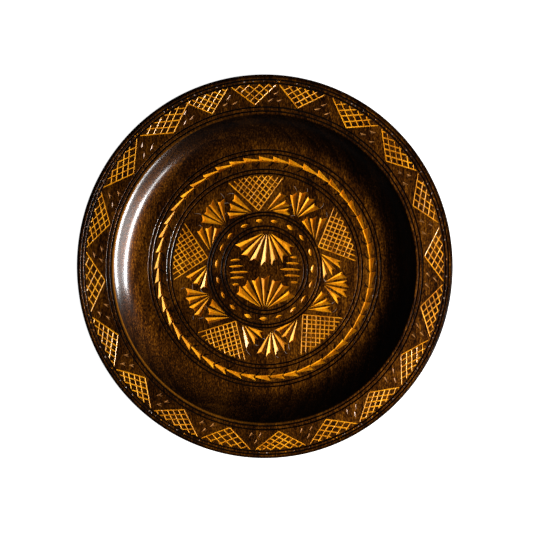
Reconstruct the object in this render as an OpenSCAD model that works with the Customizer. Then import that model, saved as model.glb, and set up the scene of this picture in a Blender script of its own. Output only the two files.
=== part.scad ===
// Shallow turned and carved wooden bowl with a wall hanger under its foot.
// Frame: +Z up, origin at the middle of the foot's resting plane, +Y towards the hanging side,
// and the wood's grain along Y.

/* [Turned body] */
// Outside diameter along the grain
outer_d = 300; // [270:5:330]
// Width across the grain as a share of the width along it: wood shrinks more across its grain
cross_grain = 0.972; // [0.95:0.002:1]
// Height from the foot to the top of the rim
height = 24; // [22:1:30]
// Depth of the hollow below the rim
hollow_depth = 11.5; // [9:0.5:14]
// Thickness of the rim at its outer edge
rim_edge_t = 9; // [7:0.5:10]
// Radius of the hollow's lip
lip_r = 121; // [119:0.5:122]
// Radius where the flat floor starts to rise
floor_r = 96; // [95:0.5:98]

/* [Turned grooves] */
// Width of a turned groove at the surface
groove_w = 1.4; // [1:0.1:1.8]
// Depth of a turned groove
groove_d = 0.9; // [0.5:0.1:1.2]

/* [Foot] */
// Radius of the foot's outside
foot_r = 88; // [84:1:92]
// Width of the foot's resting face
foot_w = 8; // [6:0.5:10]
// Depth of the recess inside the foot
recess = 4.5; // [4:0.5:5]

/* [Wall hanger] */
// Distance of the ring's hinge from the middle of the bowl
hanger_y = 50; // [40:1:60]
// Width of the folded strap
strap_w = 9; // [8:0.5:10]
// Thickness of the strap's sheet, which is folded double
sheet_t = 0.8; // [0.6:0.1:0.9]
// Diameter of the ring's wire
wire_d = 1.8; // [1.6:0.1:1.8]
// Radius of the ring's round side, at the middle of the wire
ring_r = 8; // [7:0.5:9]
// Distance between the two screws
screw_pitch = 9; // [8:0.5:10]
// Diameter of a screw's shank
screw_d = 2.2; // [2:0.1:2.4]
// Depth that a screw goes into the wood
screw_bite = 5.5; // [4:0.5:6]

/* [Hidden] */
$fn = 96;

outer_r = outer_d / 2;
floor_z = height - hollow_depth;
edge_round = 2.5;
edge_z = height - rim_edge_t;

// Turned grooves come in pairs: the radius midway between the two, and their spacing.
floor_pairs = [[33.5, 3], [44.5, 2.5], [77.5, 3], [92.5, 3]];
rim_pairs = [[124.25, 3], [144.75, 2.5]];

// Wall of the hollow: a curve that leaves the floor level and meets the lip at a slope.
wall_curve = [[floor_r, floor_z], [109, floor_z], [114.5, height - 3.6], [lip_r, height]];
// Underside: from the rim's lower edge to the top of the foot.
under_curve = [[outer_r - edge_round, edge_z], [128, 10.8], [106, 7.4], [foot_r + 3, 3.4]];

// The strap's loop turns round the wire with a running clearance.
loop_clearance = 0.05;
bore_r = wire_d / 2 + loop_clearance;
loop_r = bore_r + sheet_t;
hinge_z = recess - loop_r;
tab_t = 2 * sheet_t;
tab_z = recess - tab_t;
first_screw_y = hanger_y - screw_pitch;
tab_end_y = first_screw_y - screw_pitch;
corner_r = 1.8;
ring_leg = 1;
head_r = 2.6;
head_h = 1.5;

// Points along a cubic curve through its two end points, shaped by the two between them.
function cubic(p, steps) = [
    for (i = [0 : steps])
        let (t = i / steps, u = 1 - t)
            u * u * u * p[0] + 3 * u * u * t * p[1] + 3 * u * t * t * p[2] + t * t * t * p[3]
];

// Points along an arc, with its angles in degrees.
function arc(centre, r, from, to, steps) = [
    for (i = [0 : steps])
        let (a = from + (to - from) * i / steps)
            centre + r * [cos(a), sin(a)]
];

// Outlines of pairs of V grooves cut into a level surface at height z.
function grooves(pairs, z) = [
    for (pair = pairs, side = [-1, 1], p = [[-groove_w / 2, 0], [0, -groove_d], [groove_w / 2, 0]])
        [pair[0] + side * pair[1] / 2 + p[0], z + p[1]]
];

// Half section of the bowl, from the middle of the floor outwards and back under.
bowl_section = concat(
    [[0, floor_z]],
    grooves(floor_pairs, floor_z),
    cubic(wall_curve, 10),
    grooves(rim_pairs, height),
    arc([outer_r - edge_round, height - edge_round], edge_round, 90, 0, 4),
    arc([outer_r - edge_round, edge_z + edge_round], edge_round, 0, -90, 4),
    cubic(under_curve, 8),
    arc([foot_r + 3, 1.4], 2, 90, 180, 5),
    [[foot_r + 1, 0.6], [foot_r + 0.4, 0], [foot_r - foot_w, 0]],
    arc([foot_r - foot_w - 1, recess - 1], 1, 0, 90, 4),
    [[0, recess]]
);

// Places its children at each screw, with z at the strap's lower face.
module at_screws() {
    for (y = [first_screw_y, tab_end_y])
        translate([0, y, tab_z])
            children();
}

// A quarter turn of the bowl's section, squeezed across the grain.
module bowl_quarter(start) {
    scale([cross_grain, 1, 1])
        rotate([0, 0, start])
            rotate_extrude(angle = 90, $fn = 60)
                polygon(bowl_section);
}

// The turned body, oval by the wood's shrinkage, with pilot holes for the screws.
module bowl() {
    color("saddlebrown")
        difference() {
            union()
                for (start = [0 : 90 : 270])
                    bowl_quarter(start);
            at_screws()
                cylinder(d = screw_d, h = tab_t + screw_bite);
        }
}

// Sheet strap folded round the ring's wire, its two layers lying against the wood.
module hanger_strap() {
    color("goldenrod")
        difference() {
            union() {
                translate([-strap_w / 2, hanger_y, hinge_z])
                    rotate([0, 90, 0])
                        cylinder(r = loop_r, h = strap_w);
                translate([-strap_w / 2, tab_end_y, tab_z])
                    cube([strap_w, hanger_y - tab_end_y, tab_t]);
                translate([0, tab_end_y, tab_z])
                    cylinder(d = strap_w, h = tab_t);
            }
            translate([-strap_w, hanger_y, hinge_z])
                rotate([0, 90, 0])
                    cylinder(r = bore_r, h = 2 * strap_w);
            at_screws()
                translate([0, 0, -tab_t])
                    cylinder(d = screw_d + 0.4, h = 3 * tab_t);
        }
}

// Quarter turn or half turn of the ring's wire.
module wire_bend(r, angle) {
    rotate_extrude(angle = angle)
        translate([r, 0])
            circle(d = wire_d);
}

// D-shaped wire ring: a straight bar in the strap's loop, two corners and a round side.
module hanger_ring() {
    bar_half = ring_r - corner_r;
    color("gold")
        translate([0, hanger_y, hinge_z]) {
            translate([-bar_half, 0, 0])
                rotate([0, 90, 0])
                    cylinder(d = wire_d, h = 2 * bar_half);
            for (side = [0, 1])
                mirror([side, 0, 0]) {
                    translate([bar_half, corner_r, 0])
                        rotate([0, 0, -90])
                            wire_bend(corner_r, 90);
                    translate([ring_r, corner_r, 0])
                        rotate([-90, 0, 0])
                            cylinder(d = wire_d, h = ring_leg);
                }
            translate([0, corner_r + ring_leg, 0])
                wire_bend(ring_r, 180);
        }
}

// Pan-head screw, pointing up, with its head's flat at z = 0.
module screw() {
    slot_l = 2.6;
    slot_w = 0.6;
    slot_h = 0.8;
    difference() {
        union() {
            cylinder(d = screw_d, h = tab_t + screw_bite - screw_d / 2);
            translate([0, 0, tab_t + screw_bite - screw_d / 2])
                cylinder(r1 = screw_d / 2, r2 = 0.1, h = screw_d / 2);
            rotate([180, 0, 0])
                rotate_extrude()
                    polygon(concat(
                        [[0, 0], [head_r, 0]],
                        arc([head_r - 1.1, head_h - 1.1], 1.1, 0, 75, 5),
                        [[0, head_h]]
                    ));
        }
        for (turn = [0, 90])
            rotate([0, 0, turn])
                translate([-slot_l / 2, -slot_w / 2, -head_h - 0.1])
                    cube([slot_l, slot_w, slot_h + 0.1]);
    }
}

module hanger_screws() {
    color("silver")
        at_screws()
            screw();
}

bowl();
hanger_strap();
hanger_ring();
hanger_screws();
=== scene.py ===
"""A turned, stained and chip-carved wooden bowl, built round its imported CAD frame.

Lengths in the carving are in millimetres, as on the bench. Everything is turned into metres when
the mesh is made. A place on the bowl is given as a radius and an angle, 0 degrees along +X and
counter-clockwise seen from above, before the bowl is squeezed across its grain.
"""

import math
import random

import bpy
import numpy as np
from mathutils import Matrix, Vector
from mathutils.geometry import delaunay_2d_cdt


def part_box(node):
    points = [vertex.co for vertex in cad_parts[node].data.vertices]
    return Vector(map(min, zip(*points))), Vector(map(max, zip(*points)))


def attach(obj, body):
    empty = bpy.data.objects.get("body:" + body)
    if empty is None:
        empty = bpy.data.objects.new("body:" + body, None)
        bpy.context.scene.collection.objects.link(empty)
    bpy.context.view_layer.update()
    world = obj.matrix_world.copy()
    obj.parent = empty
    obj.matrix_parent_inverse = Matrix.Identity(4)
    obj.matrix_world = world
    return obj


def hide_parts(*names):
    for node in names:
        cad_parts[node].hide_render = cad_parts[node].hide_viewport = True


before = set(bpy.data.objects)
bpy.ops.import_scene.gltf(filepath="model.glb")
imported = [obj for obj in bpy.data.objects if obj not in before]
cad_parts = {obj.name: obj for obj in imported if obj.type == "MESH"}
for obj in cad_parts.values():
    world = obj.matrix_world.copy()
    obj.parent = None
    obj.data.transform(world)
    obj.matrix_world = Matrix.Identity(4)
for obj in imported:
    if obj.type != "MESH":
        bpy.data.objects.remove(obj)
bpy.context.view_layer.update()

# ---------------------------------------------------------------- sizes from the CAD frame

MM = 0.001
low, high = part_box("bowl")
OUTER_R = (high.y - low.y) / 2 / MM
HEIGHT = high.z / MM
CROSS_GRAIN = (high.x - low.x) / (high.y - low.y)

# The turned section, as in the CAD model.
FLOOR_Z = HEIGHT - 11.5
FLOOR_R = 96
LIP_R = 121
EDGE_ROUND = 2.5
EDGE_Z = HEIGHT - 9
FOOT_R = 88
FOOT_W = 8
RECESS = 4.5
GROOVE_W = 1.4
GROOVE_D = 0.9
# Turned grooves come in pairs: the radius midway between the two, and their spacing.
FLOOR_PAIRS = ((33.5, 3), (44.5, 2.5), (77.5, 3), (92.5, 3))
RIM_PAIRS = ((124.25, 3), (144.75, 2.5))
WALL_CURVE = ((FLOOR_R, FLOOR_Z), (109, FLOOR_Z), (114.5, HEIGHT - 3.6), (LIP_R, HEIGHT))
UNDER_CURVE = ((OUTER_R - EDGE_ROUND, EDGE_Z), (128, 10.8), (106, 7.4), (FOOT_R + 3, 3.4))
FLAT_RIM_R = OUTER_R - EDGE_ROUND

TURN_STEPS = 360
# A V-tool line of the hatching: its width, and its depth on the rim and on the floor.
LINE_W = 0.88
RIM_LINE_D = 0.27
FLOOR_LINE_D = 0.38
# Finishes, in the order of the bowl's materials.
STAINED, CARVED, GROOVE, SCRATCH, NICK, OUTSIDE = range(6)
hand = random.Random(7)


def wander(amount):
    """A small error of the carver's hand, up to amount either way."""
    return hand.uniform(-amount, amount)


def polar(r, degrees):
    """The point at radius r and an angle."""
    a = math.radians(degrees)
    return Vector((r * math.cos(a), r * math.sin(a)))


def direction(vector):
    """The angle of a vector, in degrees."""
    return math.degrees(math.atan2(vector.y, vector.x))


# ---------------------------------------------------------------- carving tools

def valley_facets(sections):
    """Facets of a cut with pointed ends and three corners across it at each of its sections."""
    facets = [(0, 2, 1), (0, 3, 2)]
    for i in range(sections - 1):
        k = 1 + 3 * i
        facets += [(k, k + 1, k + 4), (k, k + 4, k + 3)]
        facets += [(k + 1, k + 2, k + 5), (k + 1, k + 5, k + 4)]
    k = 1 + 3 * (sections - 1)
    facets += [(k, k + 1, k + 3), (k + 1, k + 2, k + 3)]
    return facets


class Carving:
    """Cuts in a level surface, each a set of facets whose corners have a depth below it."""

    def __init__(self):
        self.points = []
        self.depths = []
        self.facets = []
        self.finish = []

    def cut(self, corners, facets, finish=CARVED):
        """Adds a cut: corners are (point, depth), and facets are triples of corner numbers.

        finish is one finish for the whole cut, or a tuple with one for each facet.
        """
        marks = finish if isinstance(finish, tuple) else (finish,) * len(facets)
        first = len(self.points)
        for point, depth in corners:
            self.points.append(Vector(point))
            self.depths.append(depth)
        for facet, mark in zip(facets, marks):
            self.facets.append([first + i for i in facet])
            self.finish.append(mark)

    def line(self, start, end, width, depth, taper=1.0, finish=CARVED):
        """A straight V-tool line with pointed ends."""
        along = (end - start).normalized()
        side = Vector((-along.y, along.x)) * width / 2
        a, b = start + along * taper, end - along * taper
        corners = [(start, 0), (a + side, 0), (a - side, 0), (a, depth),
                   (b, depth), (b + side, 0), (b - side, 0), (end, 0)]
        facets = [(0, 3, 1), (0, 2, 3), (1, 3, 4), (1, 4, 5), (2, 6, 4), (2, 4, 3),
                  (4, 7, 5), (4, 6, 7)]
        self.cut(corners, facets, finish)

    def curve(self, path, width, depth, finish=CARVED):
        """A curved V cut along a path, running out to a point at both ends."""
        corners = [(path[0], 0)]
        last = len(path) - 1
        for i in range(1, last):
            along = (path[i + 1] - path[i - 1]).normalized()
            side = Vector((-along.y, along.x)) * width / 2
            swell = math.sin(math.pi * i / last) ** 0.5
            corners += [(path[i] + side * swell, 0),
                        (path[i], depth * swell),
                        (path[i] - side * swell, 0)]
        corners.append((path[last], 0))
        self.cut(corners, valley_facets(last - 1), finish)

    def ray(self, apex, heading, length, width, depth, left=0.35, notch=0.07, lead=0.06, trail=0.02,
            finish=CARVED):
        """A tapered chip that starts at its apex and deepens along its heading.

        left is the left facet's share of the width. The end is a notch: the right corner leads,
        the left corner trails a little, and the deepest point lies behind both.
        """
        along = polar(1, heading)
        side = Vector((-along.y, along.x))
        left_corner = apex + along * length * (1 - trail) + side * width * left
        right_corner = apex + along * length * (1 + lead) - side * width * (1 - left)
        bottom = apex + along * length * (1 - notch)
        end_wall = 0.35
        brow = bottom + along * end_wall
        corners = [(apex, 0), (left_corner, 0), (right_corner, 0), (bottom, depth), (brow, 0)]
        self.cut(corners, [(0, 3, 1), (0, 2, 3), (1, 3, 4), (2, 4, 3)], finish)
        return left_corner, right_corner, bottom

    def almond(self, middle, heading, length, width, depth):
        """A small chip with two curved sides, and its valley a little to the right of its heading."""
        along = polar(1, heading)
        side = Vector((-along.y, along.x))
        steps = 6
        lean = 0.2
        corners = [(middle - along * length / 2, 0)]
        for i in range(1, steps):
            t = i / steps
            swell = math.sin(math.pi * t) ** 0.8
            spot = middle + along * length * (t - 0.5)
            corners += [(spot + side * width / 2 * swell, 0),
                        (spot - side * width / 2 * lean * swell, depth * swell),
                        (spot - side * width / 2 * swell, 0)]
        corners.append((middle + along * length / 2, 0))
        self.cut(corners, valley_facets(steps - 1))

    def depth_at(self, spots):
        """The depth of the carving under each spot, and the finish of the cut that makes it."""
        xy = np.array([(p.x, p.y) for p in self.points])
        d = np.array(self.depths)
        deepest = np.zeros(len(spots))
        finish = np.full(len(spots), STAINED)
        order = np.argsort(spots[:, 0])
        xs = spots[order, 0]
        slack = 1e-6
        least_area = 1e-9
        for facet, mark in zip(self.facets, self.finish):
            a, b, c = xy[facet]
            lo, hi = np.minimum(np.minimum(a, b), c), np.maximum(np.maximum(a, b), c)
            near = order[np.searchsorted(xs, lo[0] - slack):np.searchsorted(xs, hi[0] + slack)]
            y = spots[near, 1]
            near = near[(y > lo[1] - slack) & (y < hi[1] + slack)]
            area = (b[0] - a[0]) * (c[1] - a[1]) - (b[1] - a[1]) * (c[0] - a[0])
            if len(near) == 0 or abs(area) < least_area:
                continue
            p = spots[near] - a
            v = (p[:, 0] * (c[1] - a[1]) - p[:, 1] * (c[0] - a[0])) / area
            w = ((b[0] - a[0]) * p[:, 1] - (b[1] - a[1]) * p[:, 0]) / area
            inside = (v > -slack) & (w > -slack) & (v + w < 1 + slack)
            near, v, w = near[inside], v[inside], w[inside]
            under = (1 - v - w) * d[facet[0]] + v * d[facet[1]] + w * d[facet[2]]
            better = under > deepest[near] + slack
            deepest[near[better]] = under[better]
            finish[near[better]] = mark
        return deepest, finish


def past_circle(start, heading, radius):
    """Where a line from start along a heading leaves a circle round the bowl's middle."""
    along = polar(1, heading)
    b = start.dot(along)
    c = start.dot(start) - radius * radius
    return start + along * (-b + math.sqrt(b * b - c))


# ---------------------------------------------------------------- the rim's pattern

# The hatched triangles were set out by eye, so they start wide and end narrow: (count, degrees).
TRIANGLE_RUNS = ((4, 19.75), (13, 18.1), (3, 15.2))
FIRST_TRIANGLE = 123.8
TRIANGLE_BASE_R = 142.6
TRIANGLE_APEX_R = 127.6
# Half of a triangle's base, as a share of the step between triangles.
HALF_BASE = 0.468
HATCH_STEPS = 5.3
OVERSHOOT_R = 144.75
# Stabs between the triangles: (radius, distance from the middle as a share of the step) and size.
NICK_PLACES = ((137.4, 0), (131.8, -0.105), (131.8, 0.105))
NICK_TURN = 135
NICK_L = 4.6
NICK_W = 2.7
NICK_D = 0.8


def hatch(carving, corner, far, other, stop_r, steps, depth, overshoot_r=None):
    """Lines parallel to corner-far, stepped along corner-other, each ending at the circle stop_r.

    With overshoot_r, about half of them are followed by a short mark on that circle.
    """
    heading = direction(far - corner)
    step = (other - corner) / steps
    shortest = 1.5
    run_in = 0.5
    for i in range(math.ceil(steps)):
        start = corner + step * (i + (wander(0.07) if i else 0))
        turn = heading + wander(1.2)
        if start.length > stop_r - shortest:
            continue
        end = past_circle(start, turn, stop_r)
        carving.line(start - polar(run_in, turn), end, LINE_W + wander(0.12), depth + wander(0.05))
        if overshoot_r and hand.random() < 0.55:
            spot = past_circle(start, turn, overshoot_r)
            # Most of these marks take the pale hairline finish, a painted highlight.
            finish = hand.choice((CARVED, SCRATCH, SCRATCH))
            reach = polar(0.6 + wander(0.25), turn)
            carving.line(spot - reach, spot + reach, width=0.7, depth=0.35, taper=0.4, finish=finish)


def nicks(carving, middle, step):
    """Three small stabs in the plain triangle between two hatched ones."""
    for r, offset in NICK_PLACES:
        apex = polar(r + wander(0.4), middle + offset * step + wander(0.25))
        # The stabs' end walls take the near-black groove finish, a painted shade.
        carving.ray(apex, middle + NICK_TURN + wander(14), NICK_L + wander(0.5), NICK_W, NICK_D,
                    left=0.5, notch=0.2, lead=0.05, trail=0.05, finish=(NICK, NICK, GROOVE, GROOVE))


def carve_rim():
    """The rim's band of hatched triangles, with stabs between them."""
    rim = Carving()
    angle = FIRST_TRIANGLE
    for count, step in TRIANGLE_RUNS:
        for i in range(count):
            half = HALF_BASE * step
            apex = polar(TRIANGLE_APEX_R + wander(0.3), angle + wander(0.3))
            left = polar(TRIANGLE_BASE_R, angle + half)
            right = polar(TRIANGLE_BASE_R, angle - half)
            steps = HATCH_STEPS + wander(0.5)
            hatch(rim, apex, left, right, TRIANGLE_BASE_R, steps, RIM_LINE_D, OVERSHOOT_R)
            hatch(rim, apex, right, left, TRIANGLE_BASE_R, steps, RIM_LINE_D, OVERSHOOT_R)
            nicks(rim, angle + step / 2, step)
            angle += step
    return rim


# ---------------------------------------------------------------- the floor's pattern

# Leaf chips: the radius where they start, how far back that is in degrees, their turn and size.
LEAVES = 46
LEAF_R = 86
LEAF_OVERLAP = 4.4
LEAF_TURN = 94.8
LEAF_L = 16.6
LEAF_W = 4.6
LEAF_D = 1.55
# The slit at a leaf's notch: how far it runs inwards, and how many degrees it sweeps.
SLIT_L = 5.2
SLIT_SWEEP = 3.4
# Hatched panels: the first one's angle, their inner corners' radius, their side and their lines.
PANELS = 5
FIRST_PANEL = 23.2
PANEL_R = 47.2
PANEL_SIDE = 27
PANEL_STEPS = 7.4
# The field's outer and inner edges.
FIELD_R = 74.4
FIELD_INNER_R = 47
# Bars beside the centre's fans: their spacing, the middle one's inner end, and the circle that
# they reach.
BAR_PITCH = 4.9
BAR_INNER = 13
BAR_OUTER_R = 29.3


def leaf_border(floor):
    """A ring of leaf chips, each with a curved slit running in from its notch."""
    step = 360 / LEAVES
    for i in range(LEAVES):
        angle = i * step + wander(0.5)
        apex = polar(LEAF_R + wander(0.2), angle - LEAF_OVERLAP)
        heading = angle - LEAF_OVERLAP + LEAF_TURN + wander(1)
        _, _, bottom = floor.ray(apex, heading, LEAF_L + wander(0.4), LEAF_W + wander(0.3), LEAF_D,
                                 left=0.3, notch=0.05, lead=0.04, trail=0.03)
        r, a = bottom.length, direction(bottom)
        slit = [polar(r - 0.2 - t * SLIT_L, a + 0.2 + SLIT_SWEEP * t ** 1.6)
                for t in (0, 0.25, 0.5, 0.75, 1)]
        # The slit takes the near-black groove finish, a painted shade.
        floor.curve(slit, width=1.2, depth=0.8, finish=GROOVE)


def fan(floor, apexes, headings, lengths, width, depth, scratches=True):
    """Rays side by side, with a hairline running on from some of their leading corners."""
    for apex, heading, length in zip(apexes, headings, lengths):
        heading += wander(1.5)
        _, lead, _ = floor.ray(apex, heading, length + wander(0.5), width, depth)
        if scratches and hand.random() < 0.7:
            turn = heading + wander(20)
            run = 3 + hand.random() * 3.5
            path = [lead + polar(run * t, turn + 25 * t) for t in (0, 0.33, 0.66, 1)]
            if all(FIELD_INNER_R < p.length < FIELD_R for p in path):
                # The hairline takes the pale finish, a painted highlight.
                floor.curve(path, width=0.4, depth=0.28, finish=SCRATCH)


def field(floor):
    """Five hatched panels with a fan on each side, and a larger fan between each pair."""
    for i in range(PANELS):
        angle = FIRST_PANEL + 360 / PANELS * i + wander(0.6)
        corner = polar(PANEL_R, angle)
        tilt = 42.5 + wander(1)
        left = corner + polar(PANEL_SIDE, angle + tilt + 1.5)
        right = corner + polar(PANEL_SIDE, angle - tilt)
        hatch(floor, corner, left, right, FIELD_R, PANEL_STEPS, FLOOR_LINE_D)
        hatch(floor, corner, right, left, FIELD_R, PANEL_STEPS, FLOOR_LINE_D)
        for side in (1, -1):
            apexes = [polar(PANEL_R, angle + side * a) for a in (7.2, 9.8, 13)]
            headings = [angle + side * (8 + a) for a in (42, 63, 88)]
            fan(floor, apexes, headings, (18.5, 16, 14), width=5.4, depth=1.75)
        middle = angle + 180 / PANELS
        apexes = [polar(50 + wander(0.8), middle + a) for a in (-1.6, -0.5, 0.6, 1.7)]
        headings = [middle + a for a in (-27, -6, 15, 36)]
        fan(floor, apexes, headings, (17.5, 18.5, 18, 17), width=5.8, depth=1.85)


def chip_ring(floor):
    """Small almond chips in the band round the centre."""
    count = 19
    first = 2
    ring_r = 39
    for i in range(count):
        angle = first + 360 / count * i + wander(1.2)
        floor.almond(polar(ring_r + wander(0.4), angle), angle + 90 + wander(8),
                     length=6.2 + wander(0.8), width=2.6 + wander(0.4), depth=1.0)


def centre(floor):
    """Two fans that face each other, with short bars between them."""
    rays = 7
    half = rays // 2
    spread = 111
    for apex, facing in ((Vector((1.6, 29.6)), 269), (Vector((-0.6, -30)), 89)):
        headings = [facing + spread * (k / (rays - 1) - 0.5) for k in range(rays)]
        apexes = [apex + polar(0.9, h) + polar(2.6, facing + 90) * (k - half) / half
                  for k, h in enumerate(headings)]
        lengths = [23.8 - 0.5 * abs(k - half) for k in range(rays)]
        fan(floor, apexes, headings, lengths, width=6.7, depth=2.1, scratches=False)
    for side in (-1, 1):
        for k in range(-2, 3):
            y = side + BAR_PITCH * k + wander(0.5)
            inner = Vector((side * (BAR_INNER + 3.6 * abs(k) + wander(1)), y))
            outer = Vector((side * (math.sqrt(BAR_OUTER_R ** 2 - y * y) - abs(wander(1))), y - 0.6))
            path = [inner.lerp(outer, t / 8) + Vector((0, wander(0.12))) for t in range(9)]
            floor.curve(path, width=1.8, depth=0.8)


def carve_floor():
    """The floor's carving, from its border to its centre."""
    floor = Carving()
    leaf_border(floor)
    field(floor)
    chip_ring(floor)
    centre(floor)
    return floor


# ---------------------------------------------------------------- the bowl's mesh

class Body:
    """Collects corners and faces, joining corners that fall on the same spot."""

    def __init__(self):
        self.corners = {}
        self.points = []
        self.faces = []
        self.finish = []
        self.smooth = []

    def corner(self, x, y, z):
        """The number of the corner at a spot, which is added if it isn't there yet."""
        key = (round(x, 4), round(y, 4), round(z, 4))
        if key not in self.corners:
            self.corners[key] = len(self.points)
            self.points.append((x, y, z))
        return self.corners[key]

    def face(self, corners, finish, smooth):
        """Adds a face, unless its corners have run together into a line or a point."""
        distinct = list(dict.fromkeys(corners))
        if len(distinct) > 2:
            self.faces.append(distinct)
            self.finish.append(finish)
            self.smooth.append(smooth)


def ring_points(r, steps=TURN_STEPS):
    """Points evenly round a circle."""
    return [polar(r, 360 * i / steps) for i in range(steps)]


def turned(body, section, finish=STAINED):
    """Turns a section, a list of (radius, height), listed so that its outside is on the right."""
    rows = []
    for r, z in section:
        ring = ring_points(r) if r > 0 else [Vector((0, 0))] * TURN_STEPS
        rows.append([body.corner(p.x, p.y, z) for p in ring])
    for a, b in zip(rows, rows[1:]):
        for i in range(TURN_STEPS):
            j = (i + 1) % TURN_STEPS
            body.face((a[j], b[j], b[i], a[i]), finish, True)


# Where a groove's rounded section has a ring of points, as shares of its half width.
GROOVE_PROFILE = (-1, -0.75, -0.45, 0, 0.45, 0.75, 1)


def groove_radii(pairs):
    """The radius of each turned groove."""
    return [middle + side * spacing / 2 for middle, spacing in pairs for side in (-1, 1)]


def groove_depth(r, grooves):
    """How far the turned grooves, which have rounded shoulders, lower the surface at radius r."""
    across = min(1, *(abs(r - g) / (GROOVE_W / 2) for g in grooves))
    return GROOVE_D * (1 + math.cos(math.pi * across)) / 2


def carved_level(body, level, inner, outer, pairs, carving):
    """A level ring of the bowl with its turned grooves and its carving."""
    grooves = groove_radii(pairs)
    points = list(carving.points)
    edges = [(f[i], f[(i + 1) % 3]) for f in carving.facets for i in range(3)]
    circles = [outer] + ([inner] if inner else [])
    fewest_steps = 96
    weld = 1e-5
    least = 1e-4
    least_groove = 0.02
    for r in circles + [g + share * GROOVE_W / 2 for g in grooves for share in GROOVE_PROFILE]:
        steps = TURN_STEPS if r in circles else max(fewest_steps, int(TURN_STEPS * r / OUTER_R))
        first = len(points)
        points += ring_points(r, steps)
        edges += [(first + i, first + (i + 1) % steps) for i in range(steps)]
    spots, _, triangles, _, _, _ = delaunay_2d_cdt(points, edges, [], 0, weld)
    xy = np.array([(p.x, p.y) for p in spots])
    carve, _ = carving.depth_at(xy)
    turn = np.array([groove_depth(r, grooves) for r in np.hypot(xy[:, 0], xy[:, 1])])
    height = level - np.maximum(carve, turn)
    centres = np.array([xy[list(t)].mean(0) for t in triangles])
    carve_mid, marks = carving.depth_at(centres)
    flat = math.cos(math.pi / TURN_STEPS)
    numbers = {}
    for triangle, mid, depth, mark in zip(triangles, centres, carve_mid, marks):
        r = math.hypot(*mid)
        if not (inner * flat - least < r < outer):
            continue
        corners = []
        for i in triangle:
            if i not in numbers:
                numbers[i] = body.corner(xy[i, 0], xy[i, 1], float(height[i]))
            corners.append(numbers[i])
        turned_in = groove_depth(r, grooves)
        finish = STAINED
        if depth > max(turned_in, least):
            finish = int(mark)
        elif turned_in > least_groove:
            # The turned grooves take the near-black groove finish, a painted shade.
            finish = GROOVE
        body.face(corners, finish, finish == GROOVE and bool(turned_in > depth))


def cubic(curve, steps):
    """Points along a cubic curve through its two end points."""
    a, b, c, d = (Vector(p) for p in curve)
    out = []
    for i in range(steps + 1):
        t = i / steps
        u = 1 - t
        out.append(u ** 3 * a + 3 * u * u * t * b + 3 * u * t * t * c + t ** 3 * d)
    return [(p.x, p.y) for p in out]


def arc(centre_r, centre_z, radius, start, end, steps):
    """Points along an arc of the section, with its angles in degrees."""
    turns = [math.radians(start + (end - start) * i / steps) for i in range(steps + 1)]
    return [(centre_r + radius * math.cos(t), centre_z + radius * math.sin(t)) for t in turns]


def bake_map(mesh):
    """A UV map for baked colour: the top large, the underside small, the rim's edge as a strip."""
    layer = mesh.uv_layers.new(name="OFBake")
    top, under = 0.69, 0.29
    under_start = 0.7
    strip_start, strip_scale = 0.72, 4
    steep = 0.7
    size = OUTER_R * MM
    for polygon in mesh.polygons:
        upright = abs(polygon.normal.z)
        far = math.hypot(polygon.center.x / CROSS_GRAIN, polygon.center.y) > FLAT_RIM_R * MM
        middle = math.atan2(polygon.center.y, polygon.center.x)
        for k in polygon.loop_indices:
            p = mesh.vertices[mesh.loops[k].vertex_index].co
            if far and upright < steep:
                turn = math.atan2(p.y, p.x)
                turn += math.tau * round((middle - turn) / math.tau)
                uv = ((turn / math.tau + 0.5) * top, strip_start + p.z * strip_scale)
            elif polygon.normal.z > 0:
                uv = ((p.x / size + 1) / 2 * top, (p.y / size + 1) / 2 * top)
            else:
                uv = (under_start + (p.x / size + 1) / 2 * under, (p.y / size + 1) / 2 * under)
            layer.data[k].uv = uv


def make_bowl():
    """The whole bowl as one closed mesh, in the frame's metres."""
    body = Body()
    carved_level(body, FLOOR_Z, 0, FLOOR_R, FLOOR_PAIRS, carve_floor())
    turned(body, cubic(WALL_CURVE, 26)[::-1])
    carved_level(body, HEIGHT, LIP_R, FLAT_RIM_R, RIM_PAIRS, carve_rim())
    outside = arc(FLAT_RIM_R, HEIGHT - EDGE_ROUND, EDGE_ROUND, 90, 0, 8)
    outside += arc(FLAT_RIM_R, EDGE_Z + EDGE_ROUND, EDGE_ROUND, 0, -90, 8)
    outside += cubic(UNDER_CURVE, 20)[1:]
    outside += arc(FOOT_R + 3, 1.4, 2, 90, 180, 5)[1:]
    outside += [(FOOT_R + 1, 0.6), (FOOT_R + 0.4, 0), (FOOT_R - FOOT_W, 0)]
    outside += arc(FOOT_R - FOOT_W - 1, RECESS - 1, 1, 0, 90, 4)
    outside += [(r, RECESS) for r in (60, 35, 12, 0)]
    turned(body, outside[::-1], OUTSIDE)
    mesh = bpy.data.meshes.new("carved_bowl")
    scale = np.array((CROSS_GRAIN, 1, 1)) * MM
    mesh.from_pydata(np.array(body.points) * scale, [], body.faces)
    mesh.polygons.foreach_set("material_index", body.finish)
    mesh.polygons.foreach_set("use_smooth", body.smooth)
    mesh.update()
    bake_map(mesh)
    bowl = bpy.data.objects.new("carved_bowl", mesh)
    bpy.context.scene.collection.objects.link(bowl)
    return bowl


# ---------------------------------------------------------------- materials

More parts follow.
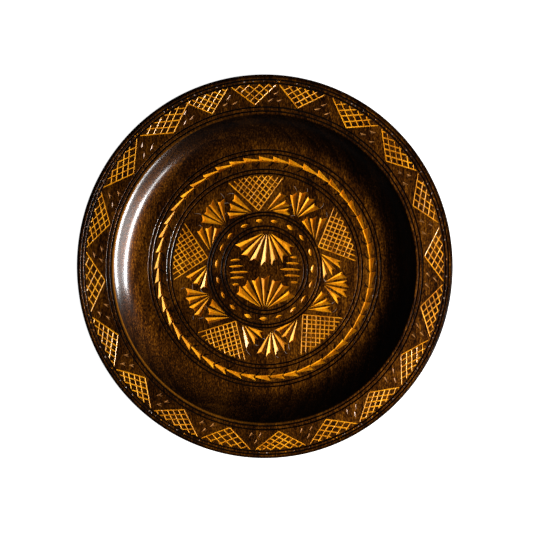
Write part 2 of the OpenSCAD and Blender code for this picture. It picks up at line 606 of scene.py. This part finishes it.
class Nodes:
    """A material's node tree, built with short calls."""

    def __init__(self, name):
        self.material = bpy.data.materials.new(name)
        self.material.use_nodes = True
        self.tree = self.material.node_tree
        self.shader = self.tree.nodes["Principled BSDF"]
        self.coords = self.tree.nodes.new("ShaderNodeTexCoord").outputs["Object"]

    def link(self, source, target):
        """Joins a node's output to an input, or sets the input to a plain value."""
        if isinstance(source, bpy.types.NodeSocket):
            self.tree.links.new(source, target)
        else:
            target.default_value = source

    def stretch(self, scale):
        """Object coordinates scaled along each axis, in pattern units per metre."""
        node = self.tree.nodes.new("ShaderNodeMapping")
        node.inputs["Scale"].default_value = scale
        self.link(self.coords, node.inputs["Vector"])
        return node.outputs["Vector"]

    def noise(self, scale, detail, roughness=0.5, distortion=0.0):
        """Noise with so many cells per metre along each axis."""
        node = self.tree.nodes.new("ShaderNodeTexNoise")
        node.inputs["Scale"].default_value = 1
        node.inputs["Detail"].default_value = detail
        node.inputs["Roughness"].default_value = roughness
        node.inputs["Distortion"].default_value = distortion
        self.link(self.stretch(scale), node.inputs["Vector"])
        return node.outputs["Fac"]

    def math(self, operation, a, b=0.0, c=0.0):
        node = self.tree.nodes.new("ShaderNodeMath")
        node.operation = operation
        for value, socket in zip((a, b, c), node.inputs):
            self.link(value, socket)
        return node.outputs[0]

    def ramp(self, value, stops):
        """Colours or greys by position, blended between the stops."""
        node = self.tree.nodes.new("ShaderNodeValToRGB")
        elements = node.color_ramp.elements
        while len(elements) < len(stops):
            elements.new(0.5)
        for element, (position, colour) in zip(elements, stops):
            element.position = position
            element.color = (*colour, 1) if isinstance(colour, tuple) else (colour,) * 3 + (1,)
        self.link(value, node.inputs["Fac"])
        return node.outputs["Color"]

    def mix(self, factor, a, b, blend="MIX"):
        node = self.tree.nodes.new("ShaderNodeMix")
        node.data_type = "RGBA"
        node.blend_type = blend
        self.link(factor, node.inputs[0])
        for value, socket in ((a, node.inputs[6]), (b, node.inputs[7])):
            self.link((*value, 1) if isinstance(value, tuple) else value, socket)
        return node.outputs[2]

    def bump(self, height, distance, strength, below=None):
        """A surface raised by height, on top of another bump if one is given."""
        node = self.tree.nodes.new("ShaderNodeBump")
        node.inputs["Distance"].default_value = distance
        node.inputs["Strength"].default_value = strength
        self.link(height, node.inputs["Height"])
        if below is not None:
            self.link(below, node.inputs["Normal"])
        return node.outputs["Normal"]

    def towards(self, azimuth):
        """0 at the outer edge away from a compass direction to 1 at the edge towards it."""
        split = self.tree.nodes.new("ShaderNodeSeparateXYZ")
        self.link(self.coords, split.inputs[0])
        reach = 2 * OUTER_R * MM
        a = math.radians(azimuth)
        east = self.math("MULTIPLY_ADD", split.outputs[0], math.cos(a) / reach, 0.5)
        return self.math("MULTIPLY_ADD", split.outputs[1], math.sin(a) / reach, east)

    def radius(self):
        """Distance from the bowl's axis in millimetres, without the squeeze across the grain."""
        split = self.tree.nodes.new("ShaderNodeSeparateXYZ")
        self.link(self.coords, split.inputs[0])
        x, y, _ = split.outputs
        x = self.math("DIVIDE", x, CROSS_GRAIN)
        square = self.math("ADD", self.math("MULTIPLY", x, x), self.math("MULTIPLY", y, y))
        return self.math("DIVIDE", self.math("SQRT", square), MM)

    def growth_rings(self, spacing):
        """0 to 1 across each yearly ring of a board cut beside the heart, which runs along Y."""
        heart_beside, heart_below = 0.045, 0.10
        heart_slope = 0.11
        waviness = 0.035
        split = self.tree.nodes.new("ShaderNodeSeparateXYZ")
        self.link(self.coords, split.inputs[0])
        x, y, z = split.outputs
        sway = self.math("MULTIPLY", self.noise((9, 4, 9), 2), waviness)
        across = self.math("ADD", x, heart_beside)
        below = self.math("ADD", z, heart_below)
        lean = self.math("MULTIPLY", y, heart_slope)
        radius = self.math("SQRT", self.math("ADD", self.math("MULTIPLY", across, across),
                                             self.math("MULTIPLY", below, below)))
        total = self.math("ADD", self.math("ADD", radius, lean), sway)
        return self.math("FRACT", self.math("DIVIDE", total, spacing))


# Compass direction of the lit side, where the hollow's wall is painted lighter: painted light where
# it faces the lamps.
LIT_WALL_SIDE = 200
# How much of the wood's colour is kept, by share of the outer radius: painted shade that darkens the
# hollow's wall towards its lip, deepest away from the lit side and milder, as painted light, on it;
# and on the outside, darker towards the outer edge.
LIP = LIP_R / OUTER_R
SHADE_AWAY_SIDE = ((FLOOR_R / OUTER_R, 0.85), (0.69, 0.20), (0.76, 0.08), (LIP - 0.004, 0.05),
               (LIP + 0.002, 0.85))
SHADE_LIT_SIDE = ((FLOOR_R / OUTER_R, 1.0), (0.69, 0.85), (0.74, 0.42), (LIP - 0.004, 0.13),
              (LIP + 0.002, 0.9))
OUTSIDE_EDGE_DARKENING = ((0.93, 0.8), (0.985, 0.13))
RING_SPACING = 0.0085
# Amber of the painted highlight on the hollow's lip.
LIP_HIGHLIGHT_AMBER = (0.32, 0.11, 0.006)


def stained_wood(name, sheen, coat, darken_away, darken_lit, lip_highlight):
    """Dark stain over fine flecks and fibres, under clear lacquer.

    Its fibres throw light back in their own colour, which sheen stands for. coat is the lacquer.
    lip_highlight is how far the hollow's lip is painted amber on the lit side, a painted highlight.
    darken_away and darken_lit darken the colour by radius, away from the lit side and on it.
    """
    n = Nodes(name)
    fibre = n.noise((1700, 100, 1700), 4, 0.65)
    fleck = n.noise((1150, 520, 1150), 3, 0.6, 0.4)
    cloud = n.noise((40, 16, 40), 3, 0.55)
    ring = n.ramp(n.growth_rings(RING_SPACING), ((0, 0.62), (0.55, 0.48), (0.88, 0.28), (0.97, 0.76),
                                                 (1, 0.62)))
    tone = n.math("ADD", n.math("MULTIPLY", fibre, 0.27), n.math("MULTIPLY", fleck, 0.38))
    tone = n.math("ADD", tone, n.math("MULTIPLY", cloud, 0.22))
    tone = n.math("ADD", tone, n.math("MULTIPLY", ring, 0.13))
    colour = n.ramp(tone, ((0.40, (0.0040, 0.0011, 0.0003)), (0.47, (0.025, 0.0067, 0.0005)),
                           (0.53, (0.080, 0.0225, 0.0012)), (0.61, (0.240, 0.078, 0.0040))))
    share = n.math("DIVIDE", n.radius(), OUTER_R)
    # Painted shade on the hollow's wall, kept lighter as painted light on the lit side, where the
    # wall faces the lamps.
    side = n.ramp(n.towards(LIT_WALL_SIDE), ((0.40, 0.0), (0.645, 0.28), (0.84, 1.0)))
    darkening = n.mix(side, n.ramp(share, darken_away), n.ramp(share, darken_lit))
    colour = n.mix(1.0, colour, darkening, "MULTIPLY")
    # Painted highlight: a thin amber line on the hollow's lip, on the lit side only.
    highlight_mask = n.ramp(share, ((LIP - 0.006, 0.0), (LIP - 0.001, lip_highlight), (LIP + 0.002, lip_highlight),
                            (LIP + 0.005, 0.0)))
    colour = n.mix(n.math("MULTIPLY", highlight_mask, side), colour, LIP_HIGHLIGHT_AMBER)
    n.link(colour, n.shader.inputs["Base Color"])
    n.link(n.math("MULTIPLY_ADD", fleck, 0.5, 0.20), n.shader.inputs["Roughness"])
    n.shader.inputs["Metallic"].default_value = sheen
    n.shader.inputs["Specular IOR Level"].default_value = 0.0
    n.shader.inputs["Coat Weight"].default_value = coat
    n.shader.inputs["Coat IOR"].default_value = 1.38
    n.shader.inputs["Coat Roughness"].default_value = 0.155
    n.link(n.bump(fleck, 0.0001, 0.5, n.bump(fibre, 0.0001, 0.3)), n.shader.inputs["Normal"])
    n.link(n.bump(fibre, 0.00002, 0.2), n.shader.inputs["Coat Normal"])
    return n.material


def carved_wood():
    """Bare wood in the cuts, honey to amber, with its fibres showing through the lacquer."""
    n = Nodes("carved_wood")
    fibre = n.noise((1500, 110, 1500), 4, 0.65)
    patch = n.noise((110, 50, 110), 3, 0.5)
    tone = n.math("ADD", n.math("MULTIPLY", fibre, 0.55), n.math("MULTIPLY", patch, 0.45))
    colour = n.ramp(tone, ((0.38, (0.25, 0.068, 0.001)), (0.50, (0.53, 0.185, 0.002)),
                           (0.62, (0.72, 0.305, 0.008))))
    n.link(colour, n.shader.inputs["Base Color"])
    n.link(n.math("MULTIPLY_ADD", fibre, 0.2, 0.24), n.shader.inputs["Roughness"])
    n.shader.inputs["Specular IOR Level"].default_value = 0.5
    n.shader.inputs["Specular Tint"].default_value = (1.0, 0.66, 0.18, 1)
    n.shader.inputs["Coat Weight"].default_value = 0.15
    n.shader.inputs["Coat Roughness"].default_value = 0.13
    n.link(n.bump(fibre, 0.0002, 0.5), n.shader.inputs["Normal"])
    return n.material


def plain_finish(name, dark, light, roughness, metallic=0.0, scale=(400, 120, 400), gloss=0.5):
    """A finish of two close colours with a fine uneven surface."""
    n = Nodes(name)
    grain = n.noise(scale, 4, 0.6)
    n.link(n.ramp(grain, ((0.35, dark), (0.65, light))), n.shader.inputs["Base Color"])
    n.link(n.math("MULTIPLY_ADD", grain, 0.15, roughness), n.shader.inputs["Roughness"])
    n.shader.inputs["Metallic"].default_value = metallic
    n.shader.inputs["Specular IOR Level"].default_value = gloss
    n.link(n.bump(grain, 0.0001, 0.3), n.shader.inputs["Normal"])
    return n.material


bowl = make_bowl()
for material in (
    # The top has painted shade on the hollow's wall, painted light on its lit side and a painted
    # highlight on the lip.
    stained_wood("stained_wood", 0.7, 1.0, SHADE_AWAY_SIDE, SHADE_LIT_SIDE, 0.7),
    carved_wood(),
    # Near-black, a painted shade in the turned grooves, the leaf slits and the stabs' end walls.
    plain_finish("groove_shade", (0.0015, 0.0009, 0.0006), (0.004, 0.002, 0.001), 0.24, gloss=0.06),
    # Pale grey, a painted highlight along the hairlines and on most overshoot marks.
    plain_finish("hairline_highlight", (0.16, 0.105, 0.075), (0.34, 0.25, 0.19), 0.25),
    plain_finish("nick_wall", (0.14, 0.052, 0.012), (0.33, 0.14, 0.035), 0.18, gloss=0.28),
    stained_wood("stained_outside", 0.0, 0.03, OUTSIDE_EDGE_DARKENING, OUTSIDE_EDGE_DARKENING, 0.0),
):
    bowl.data.materials.append(material)
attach(bowl, "bowl")
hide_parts("bowl")

brass = plain_finish("aged_brass", (0.50, 0.34, 0.13), (0.72, 0.52, 0.24), 0.22,
                     metallic=1.0, scale=(900, 900, 900))
zinc = plain_finish("zinc_plate", (0.50, 0.50, 0.48), (0.68, 0.68, 0.66), 0.25,
                    metallic=1.0, scale=(1200, 1200, 1200))
for name, material in (("hanger_strap", brass), ("hanger_ring", brass), ("hanger_screws", zinc)):
    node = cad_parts[name]
    for slot in node.material_slots:
        slot.material = material

# ---------------------------------------------------------------- floor, light and camera

LAMP_DISTANCE = 1.1


def make_floor():
    """A plain pale floor that only the picture has."""
    size = 3
    mesh = bpy.data.meshes.new("floor")
    corners = [(-size, -size, 0), (size, -size, 0), (size, size, 0), (-size, size, 0)]
    mesh.from_pydata(corners, [], [(0, 1, 2, 3)])
    floor = bpy.data.objects.new("floor", mesh)
    bpy.context.scene.collection.objects.link(floor)
    material = bpy.data.materials.new("floor")
    material.use_nodes = True
    shader = material.node_tree.nodes["Principled BSDF"]
    shader.inputs["Base Color"].default_value = (0.35, 0.35, 0.35, 1)
    shader.inputs["Roughness"].default_value = 0.9
    shader.inputs["Specular IOR Level"].default_value = 0.1
    shader.inputs["Emission Color"].default_value = (1, 1, 1, 1)
    shader.inputs["Emission Strength"].default_value = 1.0
    mesh.materials.append(material)


def softbox(name, azimuth, elevation, width, height, power):
    """An area light aimed at the bowl from a compass direction (0 is +X) and an elevation."""
    light = bpy.data.lights.new(name, "AREA")
    light.shape = "RECTANGLE"
    light.size, light.size_y = width, height
    light.energy = power
    a, e = math.radians(azimuth), math.radians(elevation)
    away = Vector((math.cos(a) * math.cos(e), math.sin(a) * math.cos(e), math.sin(e)))
    lamp = bpy.data.objects.new(name, light)
    lamp.location = away * LAMP_DISTANCE + Vector((0, 0, HEIGHT * MM))
    lamp.rotation_mode = "QUATERNION"
    lamp.rotation_quaternion = away.to_track_quat("Z", "Y")
    bpy.context.scene.collection.objects.link(lamp)


def make_world():
    """A pale studio horizon under a dark ceiling, so that level gloss reflects no haze."""
    world = bpy.data.worlds.new("studio")
    bpy.context.scene.world = world
    world.use_nodes = True
    nodes, links = world.node_tree.nodes, world.node_tree.links
    split = nodes.new("ShaderNodeSeparateXYZ")
    ramp = nodes.new("ShaderNodeValToRGB")
    links.new(nodes.new("ShaderNodeTexCoord").outputs["Generated"], split.inputs[0])
    links.new(split.outputs["Z"], ramp.inputs["Fac"])
    links.new(ramp.outputs["Color"], nodes["Background"].inputs["Color"])
    horizon, ceiling = ramp.color_ramp.elements
    horizon.position, horizon.color = 0.12, (0.7, 0.7, 0.7, 1)
    ceiling.position, ceiling.color = 0.30, (0.015, 0.015, 0.015, 1)


make_floor()
# Two long strips, one above the other. The high one has a dimmer end.
softbox("key_high", -20, 33, 0.55, 0.055, 19)
softbox("key_high_end", -42, 33, 0.30, 0.055, 3)
softbox("key_low", -18, 17, 0.50, 0.06, 19)
make_world()
bpy.context.scene.view_settings.view_transform = "Standard"

# The camera looks down from above, tilted a little away from straight down.
CAMERA_TILT = 7
CAMERA_DISTANCE = 0.62
VIEW_WIDTH = 0.4117
aim = Vector((0.0013, 0.0045, HEIGHT * MM))
tilt = math.radians(CAMERA_TILT)
camera = bpy.data.objects.new("camera", bpy.data.cameras.new("camera"))
camera.data.lens = camera.data.sensor_width * CAMERA_DISTANCE / VIEW_WIDTH
camera.location = aim + Vector((0, math.sin(tilt), math.cos(tilt))) * CAMERA_DISTANCE
camera.rotation_euler = (-tilt, 0, 0)
camera.data.clip_start = 0.01
bpy.context.scene.collection.objects.link(camera)
bpy.context.scene.camera = camera
